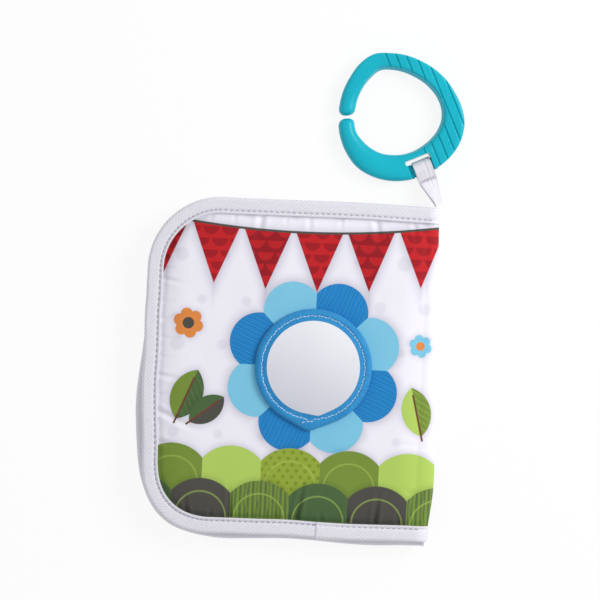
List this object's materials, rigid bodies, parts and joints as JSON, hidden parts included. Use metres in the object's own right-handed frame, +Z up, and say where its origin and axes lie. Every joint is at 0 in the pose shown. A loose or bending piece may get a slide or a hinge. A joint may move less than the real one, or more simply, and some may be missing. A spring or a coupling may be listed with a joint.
{
  "type": "crinkle cloth book",
  "caption": "Padded cloth book for a baby, with crinkle film in its leaves, a round mirror on the front cover and an open clip ring on a ribbon.",
  "frame": {"origin": "middle of the back cover's flat underside, on which the closed book lies", "axes": "+Z up through the closed book, +X from the free edge to the spine, +Y to the end with the ribbon and ring"},
  "size_m": [0.1768, 0.2765, 0.0218],
  "materials": {
    "cover_cloth": "printed woven polyester, matte",
    "wadding": "soft fibre wadding",
    "crinkle_film": "thin crinkle film",
    "lining_cloth": "printed woven polyester, matte",
    "binding_tape": "ribbed bias tape",
    "mirror_frame": "folded ribbed cloth",
    "mirror_film": "soft mirror film",
    "mirror_backing": "felt pad",
    "page_cloth": "printed woven polyester, matte",
    "spine_strip": "folded seam",
    "ribbon": "woven satin tape",
    "ring_plastic": "moulded, satin gloss"
  },
  "bodies": {
    "back_cover": {"back_cover_cloth": "cover_cloth", "back_cover_wadding": "wadding", "back_cover_crinkle_film": "crinkle_film", "back_cover_lining": "lining_cloth", "back_cover_binding": "binding_tape", "spine_strip": "spine_strip"},
    "front_cover": {"front_cover_cloth": "cover_cloth", "front_cover_wadding": "wadding", "front_cover_crinkle_film": "crinkle_film", "front_cover_lining": "lining_cloth", "front_cover_binding": "binding_tape", "mirror_frame": "mirror_frame", "mirror_film": "mirror_film", "mirror_backing": "mirror_backing"},
    "inner_page": {"page_front_cloth": "page_cloth", "page_crinkle_film": "crinkle_film", "page_back_cloth": "page_cloth", "page_binding": "binding_tape"},
    "ribbon": {"hanging_ribbon": "ribbon"},
    "ring": {"clip_ring": "ring_plastic"}
  },
  "joints": [
    {"name": "cover_open", "type": "hinge", "parent": "back_cover", "child": "front_cover", "pos_m": [0.084, 0, 0.00925], "axis": [0, 1, 0], "range_deg": [0, 180]},
    {"name": "page_turn", "type": "hinge", "parent": "back_cover", "child": "inner_page", "pos_m": [0.084, 0, 0.00925], "axis": [0, 1, 0], "range_deg": [0, 90]},
    {"name": "ribbon_swing", "type": "hinge", "parent": "back_cover", "child": "ribbon", "pos_m": [0.0804, 0.09665, 0.00925], "axis": [0, 0, 1], "range_deg": [-55, 5]},
    {"name": "ring_swing", "type": "hinge", "parent": "ribbon", "child": "ring", "pos_m": [0.07054, 0.11798, 0.005], "axis": [0.9078, 0.4195, 0], "range_deg": [0, 90]}
  ],
  "couplings": [
    {"joint": "page_turn", "follows": "cover_open", "ratio": 0.5}
  ]
}
